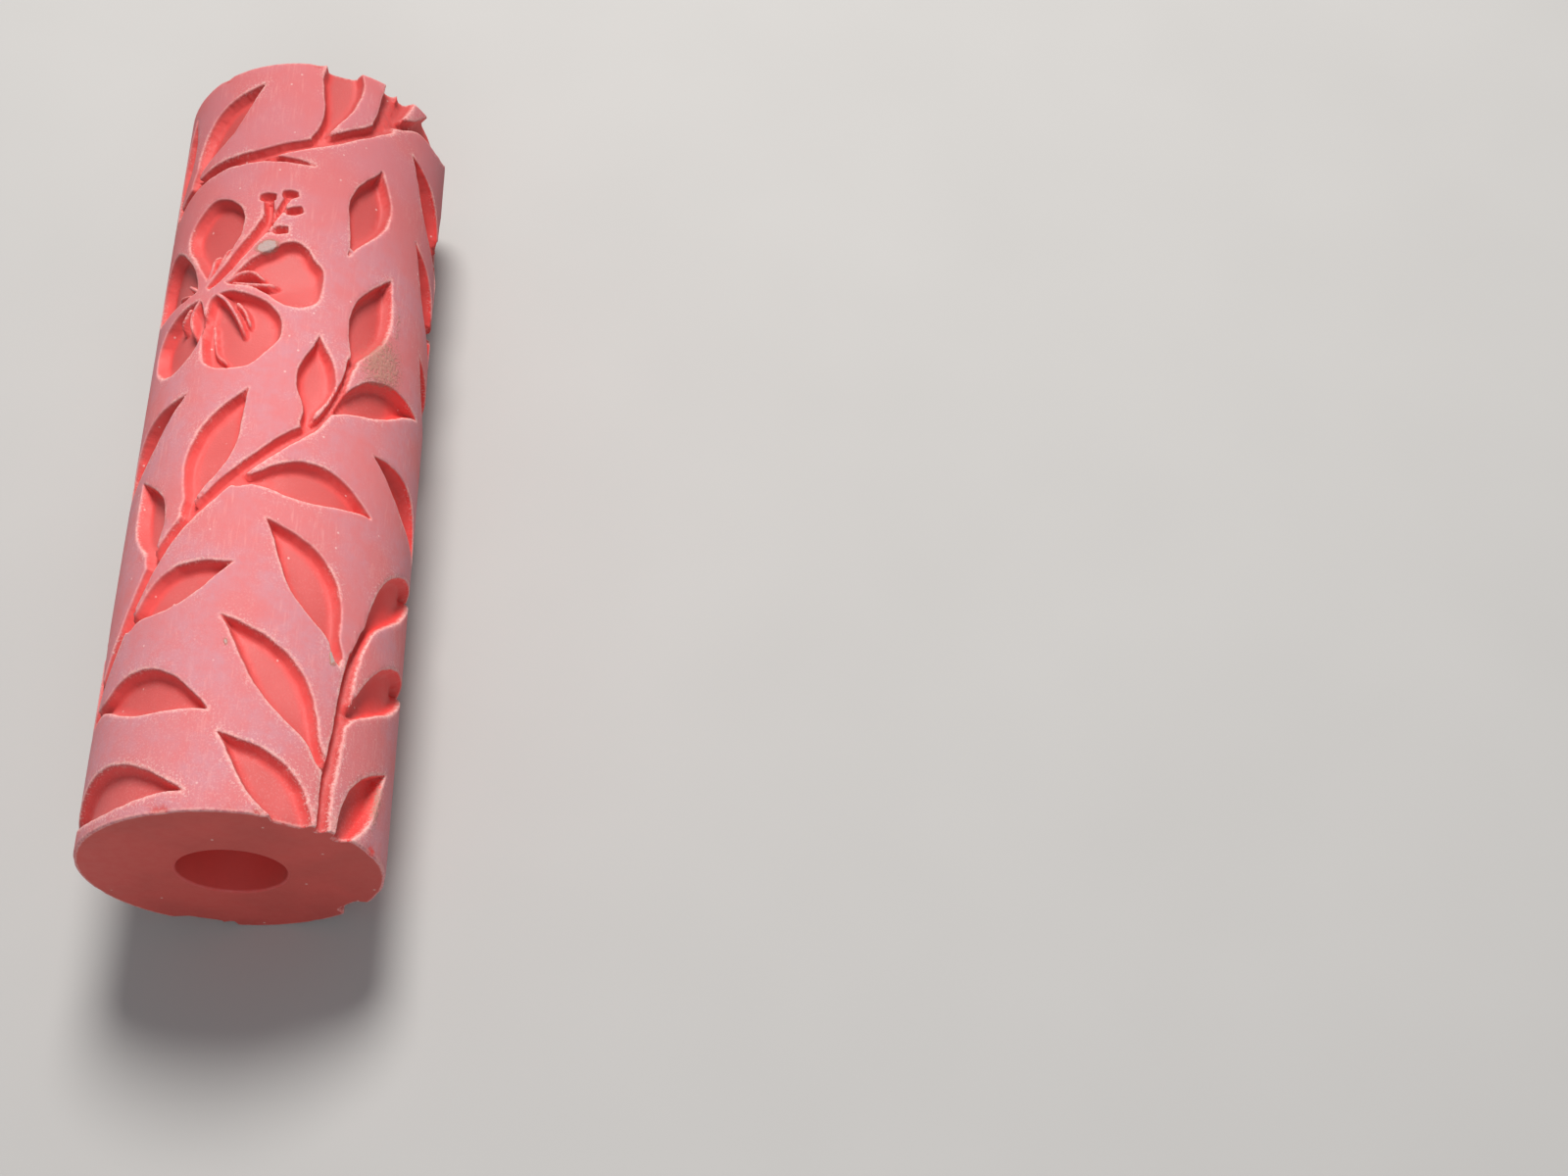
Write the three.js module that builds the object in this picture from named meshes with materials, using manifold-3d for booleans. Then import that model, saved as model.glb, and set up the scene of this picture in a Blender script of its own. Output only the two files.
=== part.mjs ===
// A clay texture roller: one thick-walled cylinder of cast rubber, lying on its side.
// Blossoms, leaves and stems are sunk into its outer face, so that clay rolled out under it
// rises into them. A plain bore runs from end to end and takes a handle rod.
// Millimetres, +Z up. The roller's axis runs along Y, and the roller rests on Z = 0.

import * as THREE from 'three';
import { mergeVertices } from 'three/addons/utils/BufferGeometryUtils.js';
import Module from 'manifold-3d';

const wasm = await Module();
wasm.setup();

// The body
const outerDiameter = 50;
const bodyLength = 156;
const boreDiameter = 18;
const rimChamfer = 0.5;
const boreChamfer = 0.8;
const flatsAround = 40;

// The pockets: how deep they are, and how far their walls lean outward on the way up
const pocketDepth = 2.3;
const pocketDish = 0.4;
const wallLean = 0.6;

// Leaves and stems
const leafWidth = 7.6;
const stemWidth = 2.4;
const stemDepth = 1.8;
const shootWidth = 1.5;
const stationSpacing = 5.5;

// Blossoms
const petalFootWidth = 1.5;
const petalRuffle = 0.5;
const petalDroop = 3.4;
const veinWidth = 1.1;
const stamenLength = 20;
const stamenWidth = 2.2;
const stamenShift = -0.7;
const antherWidth = 2.3;
const antherDepth = 1.8;
const filamentWidth = 1.2;
const filamentDepth = 1.3;

// The ornament is drawn on a flat sheet of squares that wraps once round the roller.
// A place on the sheet is [squares round from the top line, squares along from the middle].
const squaresAround = 157;
const squaresAlong = 156;

// Each sprig is a stem and its leaves. A leaf runs from its foot to its tip. Its bow is how far
// its middle swings to the left, as a share of its length, and its stalk is the narrow share.
// Its girth is its width as a share of the usual one, and a higher belly is nearer to the tip.
const sprigs = [
  {
    // Grows from the near rim, right of the top line
    stem: [[21.2, -84], [20.7, -72], [21.8, -62], [23.1, -50]],
    leaves: [
      { foot: [20.9, -49], tip: [5.6, -24.6], bow: -0.065, girth: 1.08 },
      { foot: [20, -68.4], tip: [0.2, -43.2], bow: -0.05 },
      { foot: [21.4, -83.5], tip: [2.2, -64.4], bow: -0.03 },
      { foot: [23, -50.5], tip: [49.5, -22.5], bow: 0.16, stalk: 0.27, girth: 0.95 },
      { foot: [21.7, -60.2], tip: [50, -41.5], bow: 0.1, stalk: 0.1 },
      { foot: [22.8, -82.2], tip: [36, -62.6], bow: 0.05, girth: 0.87 },
    ],
  },
  {
    // The long vine, from beside the near rim up past the left horizon and over the top
    stem: [
      [-38.5, -75], [-34, -65], [-28, -53], [-21, -43], [-12.5, -28.5], [-3.5, -19], [6, -9.5],
      [14.5, 0], [16.8, 6],
    ],
    leaves: [
      { foot: [16.7, 3.5], tip: [24, 33.2], bow: 0, stalk: 0.28, girth: 1.08 },
      { foot: [15, -0.5], tip: [36.7, 9.4], bow: 0.08 },
      { foot: [9.8, -6], tip: [10.8, 14.2], bow: -0.04 },
      { foot: [-9, -24], tip: [-0.2, 1.8], bow: 0.05, girth: 1.08 },
      { foot: [-1.5, -18], tip: [24.5, -18.8], bow: 0.08 },
      { foot: [-15, -32], tip: [-21.8, -12], bow: -0.06 },
      { foot: [-19.5, -42.4], tip: [1.2, -33.3], bow: 0.03, girth: 0.93 },
      { foot: [-31, -56.4], tip: [0.3, -60.5], bow: 0.1, stalk: 0.25, girth: 1.05 },
      { foot: [-37.5, -74.2], tip: [-2, -74.4], bow: 0.075, girth: 1.08 },
      { foot: [-33, -63], tip: [-45, -46], bow: -0.05 },
    ],
  },
  {
    // Leaves the long vine and runs on round the back to the right horizon
    stem: [
      [-28, -53], [-30, -40], [-36, -27], [-45, -15], [-56, -5], [-70, 2], [-84, 3], [-97, -1],
      [-104, 8], [-110, 19], [-113, 32], [-113.5, 46],
    ],
    leaves: [
      { foot: [-35, -29], tip: [-32, 13], bow: 0.03, stalk: 0.35 },
      { foot: [-34, -19], tip: [-12.5, 2.8], bow: 0.09, stalk: 0.2 },
      { foot: [-44, -16], tip: [-47, 9], bow: -0.04 },
      { foot: [-40, -21], tip: [-61, -20], bow: -0.06 },
      { foot: [-30, -42], tip: [-52, -33], bow: -0.05 },
      { foot: [-66, 1], tip: [-79, 22], bow: 0.05 },
      { foot: [-82, 3], tip: [-98, 20], bow: 0.06 },
      { foot: [-95, 0], tip: [-78, -8], bow: 0.05 },
      { foot: [-104, 9], tip: [-122, 23], bow: 0.05 },
      { foot: [-112, 22], tip: [-127.5, 46], bow: -0.05 },
      { foot: [-113, 42], tip: [-130.8, 65.3], bow: -0.05, girth: 1.1 },
      { foot: [-113.5, 44], tip: [-108, 70], bow: 0.03 },
      { foot: [-113, 33], tip: [-102, 53], bow: -0.03 },
    ],
  },
  {
    // Climbs from the back vine, passes over the first blossom and leaves by the far rim
    stem: [
      [-56, -5], [-54, 10], [-49, 24], [-42, 36], [-33, 45.5], [-25, 51.3], [-15, 54.5],
      [-3, 55.6], [7, 58.7], [15, 63.8], [20.5, 68.5],
    ],
    leaves: [
      { foot: [-21, 53.6], tip: [-5, 73.3], bow: 0.06 },
      { foot: [5, 57.3], tip: [7.2, 86], bow: -0.13, belly: 1.2 },
      { foot: [16.8, 65.5], tip: [20.5, 88], bow: -0.06, girth: 0.46 },
      { foot: [18.9, 67], tip: [27, 86], bow: -0.01, girth: 0.42 },
      { foot: [19.5, 68.2], tip: [48, 80], bow: 0.06, stalk: 0.27 },
      { foot: [-27, 50], tip: [-24.5, 74.5], bow: 0.02 },
      { foot: [-42, 36], tip: [-34, 66], bow: -0.03 },
      { foot: [-46, 29], tip: [-53, 54], bow: -0.04 },
      { foot: [-53, 13], tip: [-34, 25], bow: -0.06 },
      { foot: [-54, 10], tip: [-71, 28], bow: 0.05 },
    ],
  },
  {
    // Grows from the near rim at the back
    stem: [[-73, -84], [-72, -72], [-69, -60]],
    leaves: [
      { foot: [-69.5, -62], tip: [-60, -40], bow: 0.04 },
      { foot: [-72.5, -75], tip: [-91, -63], bow: 0.05 },
      { foot: [-70.5, -66], tip: [-83, -50], bow: 0.05 },
      { foot: [-72.5, -79], tip: [-54, -66], bow: -0.05 },
    ],
  },
];

// Leaves that stand alone
const looseLeaves = [
  { foot: [14.3, 33.6], tip: [19.4, 56.4], bow: -0.03, stalk: 0.04, girth: 1.18, belly: 1.2 },
  { foot: [44, -18.5], tip: [23.3, -6], bow: -0.08, stalk: 0.04 },
  { foot: [62, -87], tip: [57, -60], bow: 0.04, stalk: 0.04, girth: 1.1 },
  { foot: [-52, 84], tip: [-44, 64], bow: 0.05, stalk: 0.04 },
  { foot: [-96, 86], tip: [-98, 67], bow: -0.05, stalk: 0.04 },
];

// A thin side shoot that ends without a leaf
const shoots = [[[-13, 54.9], [-2, 54.1], [6.5, 52.7]]];

// Each blossom's middle, and the way its stamen points, in degrees from the sheet's first axis
const blossoms = [
  { hub: [-12.4, 25.3], heading: 50 },
  { hub: [-77, 51], heading: 140 },
  { hub: [-87, -28], heading: 275 },
];

// The petals of every blossom: the turn from its stamen in degrees, and the sizes. Its foot and
// its vein's tip are places [millimetres out from the hub, millimetres to the left].
const petals = [
  { turn: 38.5, length: 21.2, width: 13.4, foot: [2.4, -0.8], vein: [9, -1.4] },
  { turn: 101, length: 20, width: 14.4, foot: [2.4, 0], vein: [8, -0.6] },
  { turn: 188, length: 17.5, width: 13.5, foot: [2.4, 0.5], vein: [8, 1.5] },
  { turn: 257, length: 21.6, width: 16, foot: [3.4, 1.5], vein: [14.5, 1.2] },
  { turn: 317.5, length: 23, width: 14.6, foot: [4.8, 0.4], vein: [12, 0.4] },
];

// Anthers, as [millimetres past the stamen's end, millimetres to its left]
const anthers = [[2.2, 4], [5.3, 1.3], [2.9, -2], [-2.1, -3.4]];

const outerRadius = outerDiameter / 2;
const squareAround = (Math.PI * outerDiameter) / squaresAround;
const squareAlong = bodyLength / squaresAlong;
const wallSlope = wallLean / pocketDepth;

// Cutters stand this far above the outer face, and a pocket's floor leaves it this far above
const cutterRise = 1.5;
const floorRise = 0.3;
const leastFloorShare = 0.25;
const tipWidth = 0.2;

function onSheet([around, along]) {
  return new THREE.Vector2(around * squareAround, along * squareAlong);
}

// Wraps a place in millimetres on the sheet, and a height above the outer face, round the axis
function onRoller(place, height) {
  const angle = place.x / outerRadius;
  const radius = outerRadius + height;
  return [radius * Math.sin(angle), place.y, radius * Math.cos(angle)];
}

function toSolid(geometry) {
  geometry.deleteAttribute('normal');
  geometry.deleteAttribute('uv');
  const merged = mergeVertices(geometry);
  return new wasm.Manifold(new wasm.Mesh({
    numProp: 3,
    vertProperties: Float32Array.from(merged.getAttribute('position').array),
    triVerts: Uint32Array.from(merged.getIndex().array),
  }));
}

// A closed solid through a row of rings, each a list of [place, height] of the same length
function loft(rings) {
  const size = rings[0].length;
  const last = (rings.length - 1) * size;
  const positions = rings.flat().flatMap(([place, height]) => onRoller(place, height));
  const triangles = [];
  for (let start = 0; start < last; start += size) {
    for (let i = 0; i < size; i += 1) {
      const next = (i + 1) % size;
      triangles.push(start + i, start + size + i, start + next);
      triangles.push(start + next, start + size + i, start + size + next);
    }
  }
  for (let i = 1; i < size - 1; i += 1) {
    triangles.push(0, i, i + 1);
    triangles.push(last, last + i + 1, last + i);
  }
  const geometry = new THREE.BufferGeometry();
  geometry.setAttribute('position', new THREE.Float32BufferAttribute(positions, 3));
  geometry.setIndex(triangles);
  return toSolid(geometry);
}

// A point beside a curve, to the right of its heading
function beside(centre, heading, offset) {
  return new THREE.Vector2(centre.x + heading.y * offset, centre.y - heading.x * offset);
}

function floorHalfWidth(half, depth) {
  return Math.max(half - wallSlope * depth, half * leastFloorShare);
}

// A groove along a curve, whose width and depth are functions of the share of the way along.
// Each ring goes down the left wall, over the floor and up the right wall. A groove with a
// dish has a crease along its floor, that much deeper.
function groove(curve, shares, widthAt, depthAt, dishAt) {
  return loft(shares.map((share) => {
    const centre = curve.getPoint(share);
    const heading = curve.getTangent(share);
    const depth = depthAt(share);
    const half = widthAt(share) / 2;
    const topHalf = half + wallSlope * cutterRise;
    const floorHalf = floorHalfWidth(half, depth);
    return [
      [centre, cutterRise],
      [beside(centre, heading, -topHalf), cutterRise],
      [beside(centre, heading, -floorHalf), -depth],
      ...(dishAt ? [[centre, -depth - dishAt(share)]] : []),
      [beside(centre, heading, floorHalf), -depth],
      [beside(centre, heading, topHalf), cutterRise],
    ];
  }));
}

// Where a leaf is looked at on its way from foot to tip, closer together towards the tip
const leafShares = [0, 0.17, 0.33, 0.49, 0.65, 0.8, 0.92, 1];

function leaf({ foot, tip, bow, stalk = 0.15, girth = 1, belly = 0.9 }) {
  const start = onSheet(foot);
  const end = onSheet(tip);
  const run = end.clone().sub(start);
  const swing = start.clone().add(end).multiplyScalar(0.5);
  swing.x -= run.y * bow * 2;
  swing.y += run.x * bow * 2;
  const midline = new THREE.QuadraticBezierCurve(start, swing, end);
  const bladeAt = (share) => Math.max(0, (share - stalk) / (1 - stalk));
  const swell = (share) => Math.sin(Math.PI * bladeAt(share) ** belly) ** 1.2;
  const widest = leafWidth * girth - stemWidth * 0.4;
  const widthAt = (share) => (
    stemWidth * 0.8 * (1 - bladeAt(share)) + widest * swell(share) + tipWidth
  );
  const depthAt = (share) => {
    if (share === 1) return -floorRise;
    const opened = Math.min(1, widthAt(share) / leafWidth + 0.25);
    return Math.min(pocketDepth, Math.max(pocketDepth * opened, stemDepth * (1 - bladeAt(share))));
  };
  return groove(midline, leafShares, widthAt, depthAt, (share) => pocketDish * swell(share));
}

function evenShares(length) {
  const steps = Math.max(2, Math.ceil(length / stationSpacing));
  return Array.from({ length: steps + 1 }, (unused, i) => i / steps);
}

function stem(places, width, depth) {
  const curve = new THREE.SplineCurve(places.map(onSheet));
  const shares = evenShares(curve.getLength());
  return groove(curve, shares, () => width, () => depth);
}

// A shoot narrows and rises out of the face at its end
function shoot(places) {
  const curve = new THREE.SplineCurve(places.map(onSheet));
  const shares = evenShares(curve.getLength());
  const widthAt = (share) => shootWidth * (1 - share) + tipWidth;
  const depthAt = (share) => stemDepth * (1 - share) - floorRise * share;
  return groove(curve, shares, widthAt, depthAt);
}

// A blossom's own frame on the sheet: out along a heading from its hub, and to the left of it
function blossomFrame(hub, degrees) {
  const angle = THREE.MathUtils.degToRad(degrees);
  const heading = new THREE.Vector2(Math.cos(angle), Math.sin(angle));
  const middle = onSheet(hub);
  return (out, left) => beside(middle.clone().addScaledVector(heading, out), heading, -left);
}

const petalShares = [0, 0.12, 0.33, 0.55, 0.77, 0.93, 1];
const petalLines = [-0.5, 0, 0.5];

// A petal opens from a narrow foot, and its outer edge is round and ruffled
function petal(frame, { length, width, foot }) {
  const halfAt = (share) => (
    (petalFootWidth + (width - petalFootWidth) * Math.sin(Math.PI * 0.62 * share)) / 2
  );
  const outAt = (share, line) => {
    const droop = petalDroop * (share * line) ** 2;
    const ruffle = -petalRuffle * share ** 4 * Math.cos(2 * Math.PI * line);
    return foot[0] + (length - petalRuffle - foot[0]) * share - droop + ruffle;
  };
  return loft(petalShares.map((share) => {
    const half = halfAt(share);
    const atEdge = share === 0 || share === 1;
    const depth = atEdge ? -floorRise : pocketDepth;
    const dish = atEdge ? 0 : pocketDish * Math.sin(Math.PI * share);
    const topLine = 1 + (wallSlope * cutterRise) / half;
    const floorLine = floorHalfWidth(half, depth) / half;
    const middle = foot[1] * (1 - share) ** 2;
    const at = (line, height) => [frame(outAt(share, line), middle - line * half), height];
    return [
      at(0, cutterRise),
      at(-topLine, cutterRise),
      at(-floorLine, -depth),
      ...petalLines.map((line) => at(line * floorLine, -depth - dish * Math.cos(Math.PI * line))),
      at(floorLine, -depth),
      at(topLine, cutterRise),
    ];
  }));
}

// A vein is a thin ridge that is left standing on a petal's floor, from its foot on
function vein(frame, foot, tip) {
  const below = -pocketDepth - pocketDish - cutterRise;
  const above = 2 * cutterRise;
  const ends = [[0, above], [0.6, above], [1, -pocketDepth]];
  return loft(ends.map(([share, top]) => {
    const out = THREE.MathUtils.lerp(foot[0] - veinWidth, tip[0], share);
    const left = THREE.MathUtils.lerp(foot[1], tip[1], share);
    const topHalf = (veinWidth / 2) * (1 - share / 2);
    const lowHalf = topHalf + wallSlope * pocketDepth * 0.5;
    return [
      [frame(out, left + topHalf), top],
      [frame(out, left + lowHalf), below],
      [frame(out, left - lowHalf), below],
      [frame(out, left - topHalf), top],
    ];
  }));
}

const antherSides = 6;

// An anther is a small round pocket
function anther(centre) {
  const ring = (width, height) => Array.from({ length: antherSides }, (unused, i) => {
    const angle = (2 * Math.PI * i) / antherSides;
    const side = new THREE.Vector2(Math.cos(angle), Math.sin(angle));
    return [centre.clone().addScaledVector(side, width / 2), height];
  });
  const topWidth = antherWidth + 2 * wallSlope * cutterRise;
  const floorWidth = 2 * floorHalfWidth(antherWidth / 2, antherDepth);
  return loft([ring(topWidth, cutterRise), ring(floorWidth, -antherDepth)]);
}

// The stamen is a groove from the hub, with filaments that end in anthers
function stamen(frame) {
  const column = new THREE.LineCurve(frame(0, stamenShift), frame(stamenLength, 0));
  const pieces = [groove(
    column,
    evenShares(stamenLength),
    (share) => stamenWidth * (0.7 + 0.3 * share),
    () => stemDepth,
  )];
  for (const [past, left] of anthers) {
    const start = frame(stamenLength + Math.min(0, past - Math.abs(left)) - 1, 0);
    const end = frame(stamenLength + past, left);
    const filament = new THREE.LineCurve(start, end);
    pieces.push(groove(filament, [0, 1], () => filamentWidth, () => filamentDepth));
    pieces.push(anther(end));
  }
  return pieces;
}

function blossom({ hub, heading }) {
  const pieces = stamen(blossomFrame(hub, heading));
  for (const shape of petals) {
    const frame = blossomFrame(hub, heading + shape.turn);
    pieces.push(petal(frame, shape).subtract(vein(frame, shape.foot, shape.vein)));
  }
  return pieces;
}

// The plain cylinder with its bore, turned about the axis, with a flat along its lowest line
function plainBody() {
  const flatsToCorners = 1 / Math.cos(Math.PI / flatsAround);
  const outer = outerRadius * flatsToCorners;
  const bore = (boreDiameter / 2) * flatsToCorners;
  const end = bodyLength / 2;
  const profile = [
    [bore, boreChamfer - end],
    [bore + boreChamfer, -end],
    [outer - rimChamfer, -end],
    [outer, rimChamfer - end],
    [outer, end - rimChamfer],
    [outer - rimChamfer, end],
    [bore + boreChamfer, end],
    [bore, end - boreChamfer],
    [bore, boreChamfer - end],
  ];
  const points = profile.map(([radius, along]) => new THREE.Vector2(radius, along));
  return toSolid(new THREE.LatheGeometry(points, flatsAround, Math.PI / flatsAround));
}

function ornament() {
  const pieces = [];
  for (const sprig of sprigs) {
    pieces.push(stem(sprig.stem, stemWidth, stemDepth));
    pieces.push(...sprig.leaves.map(leaf));
  }
  pieces.push(...looseLeaves.map(leaf));
  pieces.push(...shoots.map(shoot));
  pieces.push(...blossoms.flatMap(blossom));
  return pieces.reduce((joined, piece) => joined.add(piece));
}

function toGeometry(solid) {
  const mesh = solid.getMesh();
  const geometry = new THREE.BufferGeometry();
  geometry.setAttribute('position', new THREE.BufferAttribute(mesh.vertProperties, 3));
  geometry.setIndex(new THREE.BufferAttribute(mesh.triVerts, 1));
  geometry.computeVertexNormals();
  return geometry;
}

const coralRubber = new THREE.MeshStandardMaterial({
  name: 'coral_rubber',
  color: 0xdd7a7e,
  roughness: 0.78,
  metalness: 0,
});

const roller = new THREE.Mesh(toGeometry(plainBody().subtract(ornament())), coralRubber);
roller.name = 'roller_body';
roller.position.z = outerRadius;

const group = new THREE.Group();
group.name = 'clay_texture_roller';
group.add(roller);

export default group;
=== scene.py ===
# %% [markdown]
# # A carved clay roller, cell by cell
# The object is one thick tube of cast rubber. Its outer face has leaves, stems and blossoms sunk
# into it, and a plain bore runs through it for a handle rod. A potter rolls it over soft clay.
# We load the imported model first, and read the roller's sizes from its box.

# %% Load the imported model
import math

import bmesh
import bpy
import numpy as np
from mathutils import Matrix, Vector, kdtree, noise


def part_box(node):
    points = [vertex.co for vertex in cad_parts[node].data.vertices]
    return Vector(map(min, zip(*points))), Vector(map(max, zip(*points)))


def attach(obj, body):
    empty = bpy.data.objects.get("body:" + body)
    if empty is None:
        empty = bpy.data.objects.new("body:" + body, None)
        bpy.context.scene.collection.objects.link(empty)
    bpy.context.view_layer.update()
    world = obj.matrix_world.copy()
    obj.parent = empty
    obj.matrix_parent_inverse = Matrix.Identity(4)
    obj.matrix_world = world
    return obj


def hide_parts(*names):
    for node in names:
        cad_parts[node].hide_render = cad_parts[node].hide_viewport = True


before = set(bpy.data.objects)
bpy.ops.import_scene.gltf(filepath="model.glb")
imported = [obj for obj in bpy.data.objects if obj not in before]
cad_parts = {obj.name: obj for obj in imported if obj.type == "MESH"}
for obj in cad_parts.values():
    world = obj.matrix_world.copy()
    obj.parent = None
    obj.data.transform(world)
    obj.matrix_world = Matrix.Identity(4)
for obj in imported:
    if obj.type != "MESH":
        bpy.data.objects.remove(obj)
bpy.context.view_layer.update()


# %% [markdown]
# ## Sizes
# The relief is drawn in millimetres on a flat sheet that is later wrapped once round the tube, so
# all the drawing is plain flat geometry. Blender works in metres, so one number turns the finished
# mesh from millimetres into metres. The whole roller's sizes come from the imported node's own box.

# %% Sizes in millimetres
MM = 0.001
lowest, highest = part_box("roller_body")
OUTER_RADIUS = (highest.z - lowest.z) / 2 / MM
HALF_LENGTH = (highest.y - lowest.y) / 2 / MM
AROUND = 2 * math.pi * OUTER_RADIUS
BORE_RADIUS = 9.0
MOUTH_ROUNDING = 0.4
SQUARE = AROUND / 157

LEAF_WIDTH = 7.6
STEM_WIDTH = 2.4
SHOOT_WIDTH = 1.9
POCKET_DEPTH = 2.3
STEM_DEPTH = 1.8
TIP_WIDTH = 0.2
print(f"radius {OUTER_RADIUS:.2f}, length {2 * HALF_LENGTH:.2f}, way round {AROUND:.2f}")

# %% [markdown]
# ## Outlines
# Each pocket starts as a closed outline on the sheet, as a carver would pencil it on the face.
# Most of them are ribbons: a middle line with a width that changes along it. So one helper turns
# a line and its widths into a closed outline, and leaves, stems and shoots only differ in their
# lines and widths. Places are given in squares of the sheet, about a millimetre each, from the
# top line of the roller.

# %% From a line and its widths to an outline
def on_sheet(place):
    return np.array([place[0] * SQUARE, place[1]])


def ribbon(line, widths):
    way = np.gradient(line, axis=0)
    way /= np.linalg.norm(way, axis=1)[:, None]
    side = np.stack([-way[:, 1], way[:, 0]], 1) * (np.asarray(widths) / 2)[:, None]
    return np.concatenate([line + side, (line - side)[::-1]])


def pocket(edge, shallow, deep, start=(0, 0), end=(1, 0), ridges=(), fine=()):
    """An outline, how deep its floor is at its start and at its end, the ridges that are left
    standing in it, and the places where it is too fine for coarse faces"""
    return {"edge": edge, "shallow": shallow, "deep": deep, "ridges": ridges, "fine": list(fine),
            "start": np.array(start, float), "end": np.array(end, float)}


# %% [markdown]
# A leaf's middle line is a curve with one swing point, which the bow pushes to the left. Its stalk
# starts in a point at the foot, and its blade swells and shrinks like one arch of a sine.

# %% A leaf
PLAIN_STALK = 0.15
LEAF_POINTS = 29
FOOT_SHARE = 0.06


def leaf(foot, tip, bow, stalk=PLAIN_STALK, girth=1.0, belly=0.9):
    start, end = on_sheet(foot), on_sheet(tip)
    run = end - start
    swing = (start + end) / 2 + np.array([-run[1], run[0]]) * bow * 2
    share = np.linspace(0, 1, LEAF_POINTS)
    t = share[:, None]
    line = (1 - t) ** 2 * start + 2 * t * (1 - t) * swing + t ** 2 * end
    blade = np.clip((share - stalk) / (1 - stalk), 0, 1)
    swell = np.sin(np.pi * blade ** belly).clip(0) ** 1.2
    taper = np.sqrt((share / FOOT_SHARE).clip(0, 1))
    at_foot = STEM_WIDTH * 0.8 * min(1, stalk / PLAIN_STALK) * taper
    widths = at_foot * (1 - blade) + (LEAF_WIDTH * girth - STEM_WIDTH * 0.4) * swell + TIP_WIDTH
    edge, middle = ribbon(line, widths), start + run * 0.5
    return pocket(edge, STEM_DEPTH, POCKET_DEPTH, start, middle, fine=line[-5:])


# %% [markdown]
# A stem runs smoothly through a few given places, and so does the edge of a petal, which comes
# back to its start. The curve between two places leans on the places before and after them, which
# is the usual Catmull-Rom spline.

# %% Stems and shoots
def smooth_line(given, steps=9, closed=False):
    given = list(given)
    if closed:
        chain = given[-1:] + given + given[:2]
    else:
        chain = given[:1] + given + given[-1:]
    line = []
    for a, b, c, d in zip(chain, chain[1:], chain[2:], chain[3:]):
        for t in np.arange(steps) / steps:
            out, into = (c - a) / 2, (d - b) / 2
            line.append((2 * b - 2 * c + out + into) * t ** 3
                        + (3 * c - 3 * b - 2 * out - into) * t ** 2 + out * t + b)
    return np.array(line if closed else line + given[-1:])


TAPER = (13, 20)
FINE_TIP = 16


def stem(tip_width, places):
    """A groove of one width, or one that narrows to its tip over the way that TAPER gives"""
    line = smooth_line([on_sheet(place) for place in places])
    to_tip = np.linalg.norm(line - line[-1], axis=1)
    waviness = 0.1 * np.sin(np.arange(len(line)) * 0.6)
    widths = np.interp(to_tip, TAPER, (tip_width, STEM_WIDTH)) + waviness
    narrow = line[to_tip < FINE_TIP] if tip_width < SHOOT_WIDTH else ()
    return pocket(ribbon(line, widths), STEM_DEPTH, STEM_DEPTH, fine=narrow)


def shoot(places):
    line = smooth_line([on_sheet(place) for place in places])
    widths = SHOOT_WIDTH * np.linspace(1, 0, len(line)) ** 0.6 + TIP_WIDTH
    return pocket(ribbon(line, widths), STEM_DEPTH, STEM_DEPTH, fine=line)


# %% [markdown]
# ## Blossoms
# A blossom has five petals round a small hub that stays uncut. All its parts are drawn in frames
# of their own: out from the hub, and to the left of that way. A petal opens from a narrow foot to
# a wide, ruffled edge. Thin veins are left standing in it, like cords that lie on the floor and
# reach up to the face or a little below it, and sink at their tips. One petal has no wall on one
# side: its floor rises there from one place to another.

# %% A petal with its veins
RISEN_DEPTH = 0.4


def framed(hub, degrees, places):
    angle = math.radians(degrees)
    way = np.array([math.cos(angle), math.sin(angle)])
    out, left = np.array(places, float).T
    return on_sheet(hub) + np.outer(out, way) + np.outer(left, [-way[1], way[0]])


def petal(hub, degrees, edge, veins, rise=None):
    ridges, fine = [], list(framed(hub, degrees, edge[:1]))
    for top, places in veins:
        line = smooth_line(framed(hub, degrees, places), 5)
        ridges.append((line, top))
        fine += list(line)
    outline = smooth_line(framed(hub, degrees, edge), 6, closed=True)
    start, end = framed(hub, degrees, rise or [(0, 0), (1, 0)])
    shallow = RISEN_DEPTH if rise else POCKET_DEPTH
    return pocket(outline, shallow, POCKET_DEPTH, start, end, ridges, fine)


# %% [markdown]
# The stamen is a groove that starts at the hub and passes between two petals. At its end it
# splits into filaments, and each of them ends in a small dent, the anther. They are all ribbons
# again, each with a depth, a line and the widths along it.

# %% A whole blossom
def blossom(hub, heading):
    cut = [petal(hub, heading + turn, *rest) for turn, *rest in PETALS]
    for depth, widths, places in STAMEN:
        line = smooth_line(framed(hub, heading, places), 5)
        spread = np.interp(np.linspace(0, 1, len(line)), np.linspace(0, 1, len(widths)), widths)
        cut.append(pocket(ribbon(line, spread), depth, depth, fine=line))
    return cut


# %% [markdown]
# ## Laying out the ornament
# The same places as in the solid model, except where the long vine ends, which is drawn more
# finely here: three vines with their leaves, two short sprigs that grow from the near rim, leaves
# that stand alone and three blossoms. A stem is its width at the tip and its places. A leaf is its
# foot, its tip, how far it bows to the left, and where it matters its stalk, its girth and its
# belly.

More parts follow.
